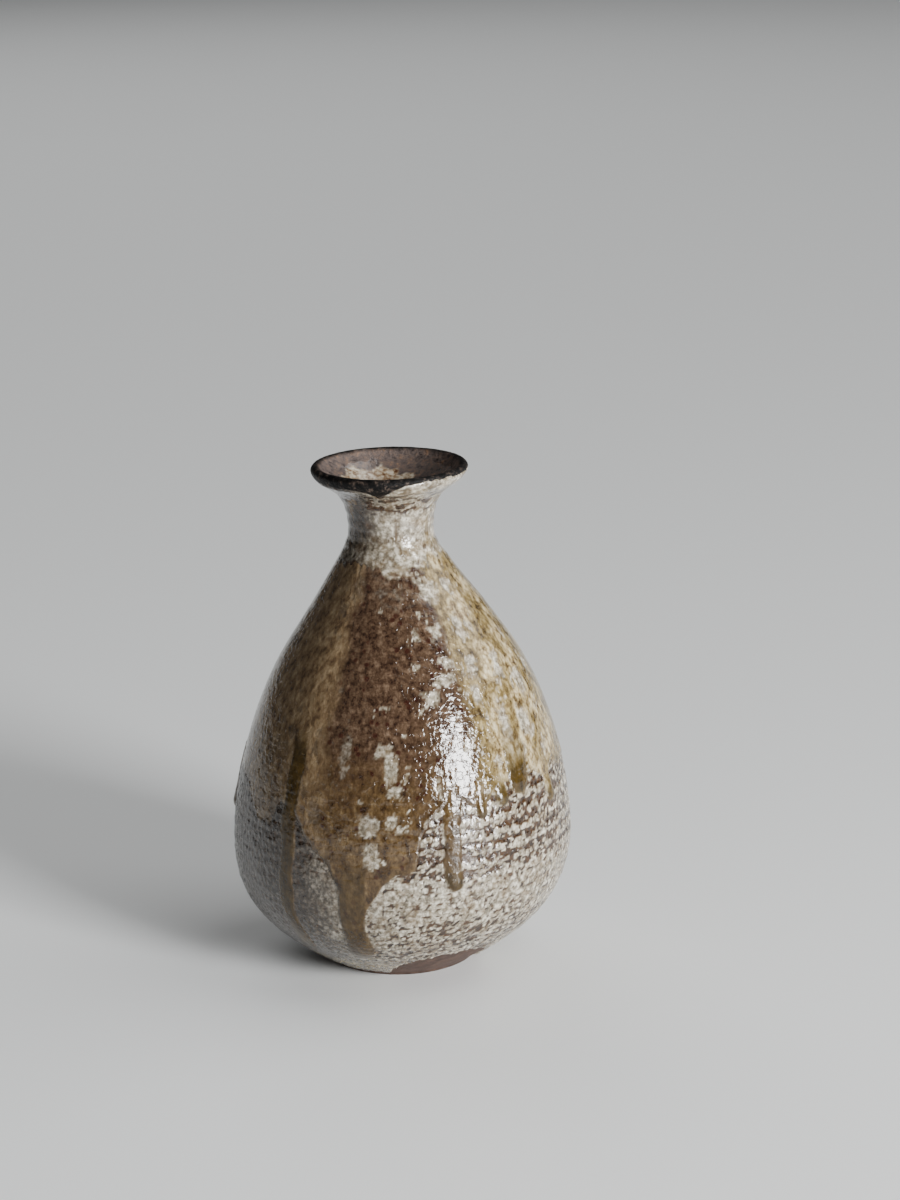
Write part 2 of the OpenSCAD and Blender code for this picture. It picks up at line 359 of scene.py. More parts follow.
def white_coat(at):
    """Height of the white coat over the path, how white it is and how deep in a grain."""
    a, z = around(at.a, 0), at.z
    deep = grains(at, 11)
    wander = 0.8 * DRIFT(at, 14) + 0.35 * DRIFT(at, 4)
    valley = np.cos(2 * math.pi * (at.s + wander) / ROW)
    right = smooth(a, -30, 5) * (1 - smooth(a, 165, 180))
    middle = smooth(z, 28, 34) * (1 - smooth(z, 49, 56))
    low = smooth(z, 4, 9) * (1 - smooth(z, 17, 24))
    marks = 0.75 * SPOTS(at, 1.5, 2, tall=0.62) - 0.30 * np.minimum(deep, 1.2)
    marks += (0.05 + 0.13 * middle) * valley + 0.10 * LUMPS(at, 6)
    few = 0.08 - 0.24 * middle * (0.40 + 0.60 * right) - 0.17 * low * (0.5 + 0.5 * right)
    few += 0.06 * (1 - right)
    gap = smooth(marks - few, -0.02, 0.10 + 0.10 * (1 - right)) * (0.8 + 0.2 * right)
    grainy = 1 - smooth(z, 50, 64) * 0.7
    dome = np.sqrt(np.clip(deep / 0.9, 0, 1))
    height = grainy * (0.25 * dome - 0.23 - 0.10 * gap - 0.03 * valley)
    height += 0.04 * BROKEN(at, 0.95) + 0.10 * DRIFT(at, 30) + 0.02 * DRIFT(at, 9, tall=0.25)
    for azimuth, out, up, radius in BARE_MARKS:
        t = math.radians(azimuth)
        d = np.sqrt((at.x - out * math.sin(t)) ** 2 + (at.y + out * math.cos(t)) ** 2
                    + (z - up) ** 2)
        bare = radius - d + 1.0 * RAGGED(at, 3.2, 2) + 0.35 * BROKEN(at, 1.0)
        height -= 0.6 * smooth(bare, -0.25, 0.35)
        height += 0.12 * smooth(bare, -1.3, -0.4) * (1 - smooth(bare, -0.4, 0.0))
        gap = gap * (1 - smooth(bare, -1.2, -0.3))
    # the grains' edges: partly thin glaze showing the clay, partly painted shade in the valleys
    # between grains, stronger on the right
    grain_edge_thin_and_shade = (0.24 + 0.26 * right + 0.34 * SPOTS(at, 2.6, 2)) * grainy
    gap = np.maximum(gap, grain_edge_thin_and_shade * (1 - smooth(deep, 0.12, 0.62)))
    hem = 1.1 + 0.5 * RAGGED(at, 4.0, 2)
    height -= 0.6 * (1 - smooth(z, hem - 0.1, hem + 0.6))
    return height, 1 - gap, deep


def run_width(run, at):
    """Half width of a run at each height, and how far each point is to the side of it."""
    z, seed = at.z, run.azimuth
    sway = 0.28 * np.sin(z / 3.1 + seed) + 0.2 * np.sin(z / 1.7 + 2 * seed)
    width = run.half_width * (1 + 0.07 * np.sin(z / 2.3 + seed))
    return width, at.off(run.azimuth) - sway


def run_depth(run, at, rough):
    """Signed distance in mm from a run's edge, positive inside, and its half width there."""
    width, x = run_width(run, at)
    up = at.z - (run.end + width)
    straight = width - np.abs(x)
    rounded = width - np.hypot(x, up)
    return np.where(up < 0, rounded, straight) + 0.16 * rough, width


class Glaze:
    """Every field of the glazes at some spots, worked out once for a piece.

    edge is how many mm a spot lies inside the ash's outline. white, cover and olive go from 0
    to 1: how thick the white coat is, thinner at its grains' edges and darkened there by painted
    shade, how far the ash hides it, raised on the left as painted shade, and how deep the ash
    is. roll is the swollen lower edge of the ash, and beneath is where the ash lies under a run.
    """

    def __init__(self, at):
        self.at = at
        self.a = around(at.a, 0)
        z = at.z
        rough = BROKEN(at, 1.7, 2)
        flaky = BROKEN(at, 0.8, 2, tall=1.2)
        self.white_h, white, deep = white_coat(at)
        ragged = 0.9 * RAGGED(at, 4.0, 3) + 0.22 * rough
        foot = by_azimuth(ASH_FOOT, at.a)
        top = by_azimuth(ASH_TOP, at.a) - z + 2.4 * STREAK(at, 3.2, 4, tall=1.5) + 0.9 * rough
        self.edge = np.minimum(z - foot + ragged, top)
        self.white = white + (1 - white) * 0.5 * smooth(self.edge, 0.5, 2.0)
        shown = self.outside_thin_marks(rough, flaky, deep)
        shown = np.minimum(shown, 0.5 - self.pores(flaky, deep))
        # painted shade: on the left the ash colour is laid partly over the white islands, dimming
        # them as shade would
        painted_shade_cover = 0.55 * smooth(self.a, -8, -24) * smooth(self.a, -150, -90)
        loose = 0.28 * smooth(z, 84, 92) + 0.5 * smooth(self.a, -38, -52) * (z < 60)
        self.cover = smooth(shown + loose * (0.9 * flaky + rough), -0.1 - loose, 0.35 + loose)
        self.cover = np.maximum(self.cover, painted_shade_cover * smooth(self.edge, 0.2, 1.0))
        self.roll = 0.5 * hill(self.edge - 0.9, 0.7) * smooth(foot + 9 - z, 0, 6)
        self.olive = 0.35 * self.roll
        self.add_runs(rough)

    def outside_thin_marks(self, rough, flaky, deep):
        """Distance in mm inside the ash and outside the marks where it is thin."""
        shown = self.edge
        lumps = 0.9 * rough + 0.8 * flaky + 0.2 * (0.45 - deep)
        for azimuth, up, w, h in THIN:
            far = np.abs(self.at.off(azimuth) / w) ** 3 + np.abs((self.at.z - up) / h) ** 3
            far = far ** (1 / 3)
            shown = np.where(far < 3, np.minimum(shown, (far - 1) * min(w, h) + lumps), shown)
        return shown

    def pores(self, flaky, deep):
        """1 in the small open patches of the ash, which are more common on the right."""
        patchy = LUMPS(self.at, 3.4, 2, tall=1.4)
        thin = 0.13 * smooth(self.a, -12, 20) - 0.10 * smooth(self.at.z, 44, 38)
        return smooth(patchy + 0.3 * flaky + 0.20 * (deep - 0.5) + thin, 0.52, 0.58)

    def add_runs(self, rough):
        """Each run's depth and half width, and what the runs add to the other fields."""
        z = self.at.z
        self.runs = []
        self.beneath = np.zeros(z.shape)
        for run in RUNS:
            inside, width = run_depth(run, self.at, rough)
            self.runs.append((inside, width))
            seen = smooth(inside, -0.1, 0.4) * (1 - smooth(z, run.top - 2, run.top + 5))
            self.cover = np.maximum(self.cover, seen)
            low = smooth(inside, 0.0, 0.6) * (1 - smooth(z, run.top - 6, run.top))
            self.beneath = np.maximum(self.beneath, low)
            bead = hill(z - run.end - width, 1.5 * run.half_width)
            olive = run.olive_stem + (run.olive_bead - run.olive_stem) * bead
            self.olive = np.maximum(self.olive, seen * olive)

    def pale(self):
        """1 where the ash is cream, 0 where it is brown."""
        edge = 5 * STREAK(self.at, 9, 3, tall=2.4)
        right = smooth(around(self.at.a, 35) + edge, -11, 9)
        back = 1 - smooth(around(self.at.a, 150) + 3 * edge, -30, 40)
        side = around(self.at.a, 92)
        return np.where(side > 0, back, right) * (np.abs(side) < 110)

    def looks(self):
        """The fields that the glaze materials read at each vertex.

        mellow turns brown ash to amber, pale turns it to cream, and painted_shade is painted shade
        on the left, the side away from the window, which darkens the white coat and gives the ash
        a flat olive-brown tone there.
        """
        mellow = 1 - smooth(self.at.z + 6 * STREAK(self.at, 9, 2, tall=2.5), 44, 68)
        # painted shade on the left, the side away from the window, fading out round the back
        a = self.a + 7 * DRIFT(self.at, 6, 2)
        painted_shade = smooth(-a, -7, 41) * smooth(a, -188, -78)
        pool = smooth(self.at.z, 8.5, 4.5) * hill(around(self.at.a, -28), 30)
        pale = np.maximum(self.pale(), smooth(pool, 0.1, 0.5))
        return {"white": self.white, "cover": np.maximum(self.cover, 0.6 * pool),
                "olive": self.olive * (1 - pool), "mellow": mellow, "pale": pale, "painted_shade": painted_shade}

    def white_height(self):
        """Height of the white coat over the path, sunk where the ash lies on it."""
        return self.white_h - 0.4 * smooth(self.edge, 0.6, 1.8)

    def ash_height(self, depth):
        """Height of an ash coat over the path, dipping under the white coat outside depth."""
        swell = 0.20 + 0.05 * LUMPS(self.at, 6, 2) + 0.16 * self.roll * (1 - self.beneath)
        swell = swell * (1 - 0.6 * self.beneath)
        swell = swell * (1 - 0.85 * smooth(self.a, -38, -52))
        base = self.white_h * 0.38 - 0.05 + 0.02 * BROKEN(self.at, 1.3)
        over = base + swell * smooth(depth, 0, 1.0) - 0.08 * (1 - self.cover)
        return np.where(depth > 0, over, self.white_h - 0.35 * smooth(-depth, 0, 0.6))

    def run_height(self, k, depth):
        """How high run k stands over the path, dipping out of sight outside depth."""
        run, z = RUNS[k], self.at.z
        width = self.runs[k][1]
        u = np.clip(depth / width, 0, 1)
        swell = run.stem + (run.bead - run.stem) * hill(z - run.end - width, 1.5 * run.half_width)
        fade = 1 - 0.6 * smooth(z, run.top - 4, run.top + 3)
        body = swell * (1 - (1 - u) ** 2.3) * fade + self.white_h * 0.3
        return np.where(depth > 0, body, self.white_h - 0.4 * smooth(-depth, 0, 0.6))


# ---------------------------------------------------------------- meshes

STRIDE = 8              # steps of a coat's fine face to each step of its coarse one


def grid_faces(rows, columns, first, wrap):
    """Four corners of each face between the points of a grid, row by row."""
    across = columns if wrap else columns - 1
    i, j = np.meshgrid(np.arange(rows - 1), np.arange(across), indexing="ij")
    k = (j + 1) % columns
    corners = (i * columns + j, i * columns + k, (i + 1) * columns + k, (i + 1) * columns + j)
    return np.stack(corners, -1).reshape(-1, 4) + first


def coat(name, s, a, wrap, skin, base, path=POT):
    """A closed piece: a fine face, with heights and fields from skin(spot), over a coarse one.

    a and s are the fine grid's azimuths and distances; base is the coarse face's height.
    """
    rows, columns = len(s), len(a)
    at = Spot(*np.meshgrid(a, s), path)
    height, fields = skin(at)
    fine = at.place(height).reshape(-1, 3)
    under = Spot(*np.meshgrid(a[::STRIDE], s[::STRIDE]), path)
    rough = under.place(np.full(under.s.shape, base)).reshape(-1, 3)
    few_rows, few = under.s.shape
    first = len(fine)
    face = grid_faces(rows, columns, 0, wrap)
    back = grid_faces(few_rows, few, first, wrap)[:, ::-1]

    def strip(fine_ids, rough_ids, turned):
        """Faces between an edge of the fine grid and the same edge of the coarse one."""
        n = len(rough_ids) - 1
        runs = np.arange(n)[:, None] * STRIDE + np.arange(STRIDE + 1)
        faces = np.hstack([fine_ids[runs], rough_ids[1:, None], rough_ids[:-1, None]])
        return faces[:, ::-1] if turned else faces

    def closed(row):
        return np.append(row, row[:1]) if wrap else row

    ids = np.arange(first).reshape(rows, columns)
    rough_ids = first + np.arange(len(rough)).reshape(few_rows, few)
    rims = [strip(closed(ids[0]), closed(rough_ids[0]), True),
            strip(closed(ids[-1]), closed(rough_ids[-1]), False)]
    if not wrap:
        rims += [strip(ids[:, 0], rough_ids[:, 0], False),
                 strip(ids[:, -1], rough_ids[:, -1], True)]
    rims = np.vstack(rims)
    return new_piece(name, np.vstack([fine, rough]), [face, back], rims, fields, len(rough))


def patch(name, s, a, skin, base):
    """A closed piece over the grid cells where skin(spot) says there is some to see."""
    at = Spot(*np.meshgrid(a, s))
    height, fields, kept = skin(at)
    cell = kept[:-1, :-1] | kept[1:, :-1] | kept[:-1, 1:] | kept[1:, 1:]
    face = grid_faces(len(s), len(a), 0, False)[cell.ravel()]
    used = np.unique(face)
    number = np.zeros(at.s.size, int)
    number[used] = np.arange(len(used))
    face = number[face]
    fine = at.place(height).reshape(-1, 3)[used]
    rough = at.place(np.full(at.s.shape, base)).reshape(-1, 3)[used]
    edges = np.concatenate([face[:, [k, (k + 1) % 4]] for k in range(4)])
    forward = edges[:, 0] * len(used) + edges[:, 1]
    backward = edges[:, 1] * len(used) + edges[:, 0]
    rim = edges[~np.isin(forward, backward)]
    walls = np.stack([rim[:, 1], rim[:, 0], rim[:, 0] + len(used), rim[:, 1] + len(used)], -1)
    fields = {k: v.ravel()[used] for k, v in fields.items()}
    skins = [face, face[:, ::-1] + len(used)]
    return new_piece(name, np.vstack([fine, rough]), skins, walls, fields, len(used))


def new_piece(name, points, skins, rims, fields, hidden):
    """A mesh object: smooth skins, flat rims, and fields that stop at the hidden vertices."""
    skins = np.vstack(skins)
    loops = np.concatenate([skins.ravel(), rims.ravel()]).astype(np.int32)
    totals = np.concatenate([np.full(len(skins), 4), np.full(len(rims), rims.shape[1])])
    me = bpy.data.meshes.new(name)
    me.vertices.add(len(points))
    me.vertices.foreach_set("co", (points * UNIT).astype(np.float32).ravel())
    me.loops.add(len(loops))
    me.loops.foreach_set("vertex_index", loops)
    me.polygons.add(len(totals))
    me.polygons.foreach_set("loop_start", (np.cumsum(totals) - totals).astype(np.int32))
    me.polygons.foreach_set("loop_total", totals.astype(np.int32))
    me.polygons.foreach_set("use_smooth", np.arange(len(totals)) < len(skins))
    for key, values in fields.items():
        layer = me.attributes.new(key, "FLOAT", "POINT")
        values = np.concatenate([values.ravel(), np.zeros(hidden)])
        layer.data.foreach_set("value", values.astype(np.float32))
    me.update(calc_edges=True)
    me.validate()
    ob = bpy.data.objects.new(name, me)
    bpy.context.scene.collection.objects.link(ob)
    return ob


def finish_piece(ob, material, slot, *nodes):
    """Give a piece its material, hang it under the root body and hide the CAD nodes it stands for.
    """
    ob.data.materials.append(material)
    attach(ob, "root")
    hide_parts(*nodes)
    return ob


def steps(start, end, size):
    """Even distances of about that size, a whole number of strides and one more."""
    count = STRIDE * max(1, round(abs(end - start) / size / STRIDE))
    return np.linspace(start, end, count + 1)


def ring(columns):
    """Azimuths all the way round, a whole number of strides."""
    return np.arange(columns) * 360 / columns


# ---------------------------------------------------------------- materials


def screen(r, g, b):
    """A colour given as 0 to 255 screen values, as the shader wants it."""
    c = np.array([r, g, b]) / 255
    low, high = c / 12.92, ((c + 0.055) / 1.055) ** 2.4
    return tuple(np.where(c <= 0.04045, low, high)) + (1.0,)


class Nodes:
    """A material under construction, with short names for the nodes it is made of."""

    def __init__(self, name, roughness, coat=0.0, coat_roughness=0.05):
        self.material = bpy.data.materials.new(name)
        self.material.use_nodes = True
        self.tree = self.material.node_tree
        self.shader = self.tree.nodes["Principled BSDF"]
        self.shader.inputs["Roughness"].default_value = roughness
        self.shader.inputs["Coat Weight"].default_value = coat
        self.shader.inputs["Coat Roughness"].default_value = coat_roughness
        where = self.tree.nodes.new("ShaderNodeTexCoord")
        self.place = where.outputs["Object"]

    def link(self, source, socket):
        """Feed a socket from another one, or set it to a value."""
        if isinstance(source, bpy.types.NodeSocket):
            self.tree.links.new(source, socket)
        else:
            socket.default_value = source

    def value(self, name):
        """A field that the mesh carries at its vertices."""
        node = self.tree.nodes.new("ShaderNodeAttribute")
        node.attribute_name = name
        return node.outputs["Fac"]

    def stretched(self, tall, shift):
        """The place on the pot, with features made tall times higher and moved along."""
        node = self.tree.nodes.new("ShaderNodeMapping")
        self.link(self.place, node.inputs["Vector"])
        node.inputs["Scale"].default_value = (1, 1, 1 / tall)
        node.inputs["Location"].default_value = (shift, shift, shift)
        return node.outputs["Vector"]

    def noise(self, size, detail=2.0, tall=1.0, shift=0.0, rough=0.5):
        """Noise from 0 to 1 with features of about that size in mm."""
        node = self.tree.nodes.new("ShaderNodeTexNoise")
        self.link(self.stretched(tall, shift), node.inputs["Vector"])
        node.inputs["Scale"].default_value = 1 / (size * UNIT)
        node.inputs["Detail"].default_value = detail
        node.inputs["Roughness"].default_value = rough
        return node.outputs["Fac"]

    def cells(self, size, tall=1.0, shift=0.0):
        """Distance from the nearest of many scattered points, about size mm apart."""
        node = self.tree.nodes.new("ShaderNodeTexVoronoi")
        self.link(self.stretched(tall, shift), node.inputs["Vector"])
        node.inputs["Scale"].default_value = 1 / (size * UNIT)
        return node.outputs["Distance"]

    def vector(self, operation, a, b, c=None):
        node = self.tree.nodes.new("ShaderNodeVectorMath")
        node.operation = operation
        for source, socket in zip((a, b, c), node.inputs):
            if source is not None:
                self.link(source, socket)
        return node.outputs["Value" if operation == "DOT_PRODUCT" else "Vector"]

    def flakes(self, size, warp):
        """Height in mm of small flat plates with warped outlines, each with its own tilt."""
        wave = self.tree.nodes.new("ShaderNodeTexNoise")
        self.link(self.place, wave.inputs["Vector"])
        wave.inputs["Scale"].default_value = 1.3 / (size * UNIT)
        where = self.vector("MULTIPLY_ADD", wave.outputs["Color"], (warp * size * UNIT,) * 3,
                            self.place)
        found = []
        for feature in ("F1", "DISTANCE_TO_EDGE"):
            node = self.tree.nodes.new("ShaderNodeTexVoronoi")
            node.feature = feature
            self.link(where, node.inputs["Vector"])
            node.inputs["Scale"].default_value = 1 / (size * UNIT)
            found.append(node)
        cell, edge = found
        tilt = self.vector("SUBTRACT", cell.outputs["Color"], (0.5, 0.5, 0.5))
        local = self.vector("SUBTRACT", where, cell.outputs["Position"])
        rise = self.vector("DOT_PRODUCT", tilt, local)
        plate = self.times(rise, 1 / UNIT)
        return self.times(plate, self.step(edge.outputs["Distance"], 0.0, 0.16))

    def step(self, source, low, high, to_low=0.0, to_high=1.0):
        """to_low below low, to_high above high, and a smooth step between them."""
        node = self.tree.nodes.new("ShaderNodeMapRange")
        node.interpolation_type = "SMOOTHSTEP"
        self.link(source, node.inputs["Value"])
        node.inputs["From Min"].default_value = low
        node.inputs["From Max"].default_value = high
        node.inputs["To Min"].default_value = to_low
        node.inputs["To Max"].default_value = to_high
        return node.outputs["Result"]

    def times(self, a, b):
        node = self.tree.nodes.new("ShaderNodeMath")
        node.operation = "MULTIPLY"
        self.link(a, node.inputs[0])
        self.link(b, node.inputs[1])
        return node.outputs[0]

    def mix(self, share, a, b):
        """Colour a where share is 0 and colour b where it is 1."""
        node = self.tree.nodes.new("ShaderNodeMix")
        node.data_type = "RGBA"
        self.link(share, node.inputs["Factor"])
        self.link(a, node.inputs["A"])
        self.link(b, node.inputs["B"])
        return node.outputs["Result"]

    def ramp(self, source, *stops):
        """A colour for each value of source, given at some values in rising order."""
        node = self.tree.nodes.new("ShaderNodeValToRGB")
        self.link(source, node.inputs["Fac"])
        points = node.color_ramp.elements
        while len(points) < len(stops):
            points.new(0.5)
        for point, (at, colour) in zip(points, stops):
            point.position = at
            point.color = colour
        return node.outputs["Color"]

    def bump(self, height, depth, under=None):
        """Bumps that are depth mm high where height is 1."""
        node = self.tree.nodes.new("ShaderNodeBump")
        node.inputs["Distance"].default_value = depth * UNIT
        self.link(height, node.inputs["Height"])
        if under is not None:
            self.link(under, node.inputs["Normal"])
        return node.outputs["Normal"]

    def done(self, colour, normal=None):
        """The finished material."""
        self.link(colour, self.shader.inputs["Base Color"])
        if normal is not None:
            self.link(normal, self.shader.inputs["Normal"])
            self.link(normal, self.shader.inputs["Coat Normal"])
        return self.material


def white_colour(n):
    """The white coat: milky grains, greyer where thin, with brown clay in the gaps, and painted
    shade on the side away from the window.
    """
    fine = n.noise(1.25, 4, rough=0.66)
    milk = n.ramp(fine, (0.36, screen(92, 84, 70)), (0.50, screen(152, 144, 127)),
                  (0.63, screen(208, 202, 186)))
    stain = n.times(n.step(n.noise(3.0, 5, shift=0.2, rough=0.66), 0.46, 0.62), 0.5)
    milk = n.mix(stain, milk, screen(112, 92, 64))
    # painted shade: a darker copy of the milk that takes over on the side away from the window
    shade = n.ramp(fine, (0.36, screen(32, 24, 19)), (0.50, screen(50, 41, 34)),
                   (0.63, screen(78, 67, 58)))
    milk = n.mix(n.times(n.value("painted_shade"), 0.96), milk, shade)
    earth = n.ramp(n.noise(1.1, 2, shift=0.5), (0.35, screen(34, 23, 15)),
                   (0.6, screen(66, 47, 31)))
    return n.mix(n.step(n.value("white"), 0.1, 0.9), earth, milk)


def ash_colour(n):
    """The ash coat: purple-brown above, amber lower down, cream on the right, olive where deep,
    and a painted-shade tone on the side away from the window.
    """
    brown = n.ramp(n.noise(1.5, 6, tall=1.2, rough=0.74), (0.33, screen(30, 17, 12)),
                   (0.43, screen(51, 36, 26)), (0.54, screen(74, 57, 43)),
                   (0.70, screen(110, 91, 74)))
    amber = n.ramp(n.noise(1.6, 5, tall=1.7, shift=1.1, rough=0.68), (0.33, screen(36, 23, 13)),
                   (0.46, screen(64, 48, 28)), (0.58, screen(84, 66, 42)),
                   (0.72, screen(112, 94, 66)))
    tone = n.mix(n.value("mellow"), brown, amber)
    blots = n.times(n.step(n.cells(2.5, shift=0.3), 0.17, 0.33, 1.0, 0.0),
                    n.step(n.noise(5.0, 2, shift=0.7), 0.48, 0.54))
    tone = n.mix(n.times(blots, 0.8), tone, screen(46, 20, 13))
    # painted shade: the side away from the window gets its own flat olive-brown tone in place of
    # the brown
    painted_shade = n.ramp(n.noise(1.9, 5, tall=2.0, shift=4.1, rough=0.68), (0.34, screen(74, 57, 40)),
                  (0.50, screen(120, 99, 72)), (0.68, screen(156, 136, 106)))
    tone = n.mix(n.step(n.value("painted_shade"), 0.72, 1.0, 0.0, 0.8), tone, painted_shade)
    streaks = n.noise(1.5, 5, tall=1.9, shift=2.1, rough=0.70)
    cream = n.ramp(streaks, (0.36, screen(70, 54, 34)), (0.44, screen(126, 107, 74)),
                   (0.52, screen(172, 155, 116)), (0.63, screen(206, 194, 162)))
    tan = n.ramp(streaks, (0.35, screen(54, 42, 24)), (0.50, screen(110, 93, 58)),
                 (0.66, screen(160, 143, 102)))
    cream = n.mix(n.step(n.noise(6.5, 3, tall=2.4, shift=5.2), 0.38, 0.56), cream, tan)
    cream = n.mix(n.times(blots, 0.6), cream, screen(80, 60, 38))
    tone = n.mix(n.step(n.value("pale"), 0.0, 0.6), tone, tan)
    tone = n.mix(n.step(n.value("pale"), 0.4, 1.0), tone, cream)
    olive = n.ramp(n.noise(1.8, 2, tall=2.0, shift=3.1), (0.35, screen(38, 28, 8)),
                   (0.65, screen(68, 52, 20)))
    return n.mix(n.value("olive"), tone, olive)


def glaze_material(name, roughness=0.10, gritty=1.0, coat=0.3):
    """A glassy coat over fine grit and flakes, which break up what it mirrors."""
    n = Nodes(name, roughness, coat, 0.04)
    colour = n.mix(n.value("cover"), white_colour(n), ash_colour(n))
    tilted = n.bump(n.noise(1.8, 2, shift=0.4), 0.05 * gritty)
    flaky = n.bump(n.flakes(1.25, 0.8), 0.12 * gritty, tilted)
    return n.done(colour, n.bump(n.noise(0.4, 1, shift=0.9), 0.008 * gritty, flaky))


def iron_material():
    """Nearly black on the crest of the lip, brown where it runs into the lining."""
    n = Nodes("iron band", 0.45)
    n.shader.inputs["Specular IOR Level"].default_value = 0.12
    dark = n.ramp(n.noise(1.3, 5, rough=0.74), (0.40, screen(8, 8, 8)),
                  (0.54, screen(24, 22, 21)), (0.66, screen(84, 72, 64)))
    colour = n.mix(n.value("inside"), dark, lining_brown(n))
    return n.done(colour, n.bump(n.noise(0.8, 4, rough=0.6), 0.34))


def lining_brown(n):
    """The lining near the lip, thin and mottled brown."""
    return n.ramp(n.noise(1.6, 5, rough=0.70), (0.32, screen(52, 45, 43)),
                  (0.48, screen(90, 80, 76)), (0.60, screen(106, 89, 79)),
                  (0.72, screen(144, 112, 88)))


def lining_material():
    """Brown near the lip, cream further in, where the glaze lies thicker."""
    n = Nodes("lining glaze", 0.22, 0.5, 0.06)
    cream = n.ramp(n.noise(1.2, 5, shift=0.6, rough=0.68), (0.34, screen(84, 56, 38)),
                   (0.46, screen(140, 118, 92)), (0.62, screen(198, 188, 168)))
    colour = n.mix(n.value("cream"), lining_brown(n), cream)
    return n.done(colour, n.bump(n.noise(0.8, 2), 0.07))


def clay_material():
    """Bare fired clay with turning lines and grit."""
    n = Nodes("bare clay", 0.7)
    colour = n.ramp(n.noise(3.0, 5, rough=0.7), (0.30, screen(50, 34, 26)),
                    (0.5, screen(73, 53, 43)), (0.72, screen(98, 75, 62)))
    specks = n.times(n.step(n.cells(1.1, shift=0.2), 0.10, 0.22, 1.0, 0.0),
                     n.step(n.noise(2.2, 1, shift=1.7), 0.52, 0.60))
    colour = n.mix(specks, colour, screen(56, 36, 30))
    lines = n.bump(n.noise(4.0, 4, tall=0.08, shift=0.3), 0.12)
    return n.done(colour, n.bump(n.noise(0.35, 2), 0.06, lines))


# ---------------------------------------------------------------- the pieces

# heights where meshes stop, out of sight under the ash, the iron band or the white coat
BELLY_TOP = 57
NECK_FOOT = 90
BAND_START = 113.6
ASH_START = 34
ASH_MIDDLE = 62         # the ash is meshed more finely below this, where its edge rolls up
ASH_END = 101
LINING_MIDDLE = 106     # and the lining above this, where it can be seen


def belly_glaze(material):
    """The white coat below the ash, in grains with crawled gaps between them."""
    def skin(at):
        glaze = Glaze(at)
        return glaze.white_height(), glaze.looks()

    s = steps(0.7, outside_at(BELLY_TOP), 0.45)
    ob = coat("belly_glaze", s, ring(576), True, skin, -0.8)
    finish_piece(ob, material, "white_glaze", "outer_glaze")


def neck_glaze(material):
    """The white coat above the ash: throwing rolls, clouds, bare streaks, a few drips and painted
    shade under the lip.
    """
    def skin(at):
        glaze = Glaze(at)
        z = at.z
        rolls = 0.06 * np.sin(z * 2 * math.pi / 2.7 + 1.5 * DRIFT(at, 20))
        height = glaze.white_h * 0.4 + rolls * smooth(z, 96, 104) * (1 - smooth(z, 112, 116))
        height -= 0.4 * smooth(glaze.edge, 0.6, 1.8)
        lift = z - by_azimuth(BAND_FOOT, at.a) + 0.40 * RAGGED(at, 2.2, 2)
        height += 0.16 * hill(lift + 0.4, 0.4) - 0.5 * smooth(lift, 0.0, 0.5)
        values = glaze.looks()
        bars = BROKEN(at, 2.6, 3, tall=0.36) + 0.12 * smooth(np.abs(around(at.a, -15)), 70, 0)
        zone = smooth(z, 108, 110.5) * (1 - smooth(z, 114.5, 115.8))
        stray = smooth(SPOTS(at, 1.6, 2), 0.30, 0.42) * (1 - smooth(z, 108, 110)) * 0.7
        # painted shade: under the lip the white is dulled all round by at least 0.35, with the
        # darker dashes on top
        dashes_and_lip_shade = np.maximum(np.maximum(smooth(bars, 0.04, 0.16), 0.35) * zone, stray)
        height -= 0.10 * dashes_and_lip_shade
        cloud = 0.14 + 0.30 * smooth(SPOTS(at, 3.4, 4), -0.14, 0.26)
        values["white"] = 1 - np.maximum(0.95 * dashes_and_lip_shade, cloud)
        drips = smooth(STREAK(at, 3.2, 2, tall=4) + 0.5 * hill(around(at.a, 72), 22), 0.30, 0.5)
        wet = drips * smooth(z, 100, 104) * (1 - smooth(z, 112, 115))
        values["cover"] = np.maximum(values["cover"], 0.85 * wet)
        values["mellow"] = np.maximum(values["mellow"], wet)
        values["pale"] = values["pale"] * (1 - 0.7 * wet)
        # less painted shade in a band round the foot of the neck
        values["painted_shade"] = values["painted_shade"] * (1 - 0.45 * hill(z - 99.5, 3.2))
        return height, values

    s = steps(outside_at(NECK_FOOT), LIP_AT - 0.1, 0.38)
    ob = coat("neck_glaze", s, ring(352), True, skin, -0.7)
    finish_piece(ob, material, "white_glaze", "outer_glaze")


def ash_border(at):
    """Signed distance in mm from the border of the two ash coats, positive on the brown side."""
    near_start = np.abs(around(at.a, PALE_START)) < (PALE_END - PALE_START) / 2
    d = np.where(near_start, -around(at.a, PALE_START), around(at.a, PALE_END))
    return np.radians(d) * at.r + 0.8 * STREAK(at, 5, 2)


def ash_coat(name, material, slot, side, start, end, columns):
    """An ash coat from azimuth start to end. side is 1 for the brown one, -1 for the pale one."""
    def skin(at):
        glaze = Glaze(at)
        depth = np.minimum(glaze.edge, at.z - FRONT_Z[0])
        beyond = -side * ash_border(at)
        lap = 0.3 * smooth(beyond, 0.8, 1.6) + (0.02 if side < 0 else 0.0)
        return glaze.ash_height(depth) - lap, glaze.looks()

    lower = steps(outside_at(ASH_START), outside_at(ASH_MIDDLE), 0.48)
    upper = steps(outside_at(ASH_MIDDLE), outside_at(ASH_END), 0.66)
    s = np.append(lower, upper[1:])
    ob = coat(name, s, np.linspace(start, end, columns + 1), False, skin, -0.6)
    finish_piece(ob, material, slot, name)


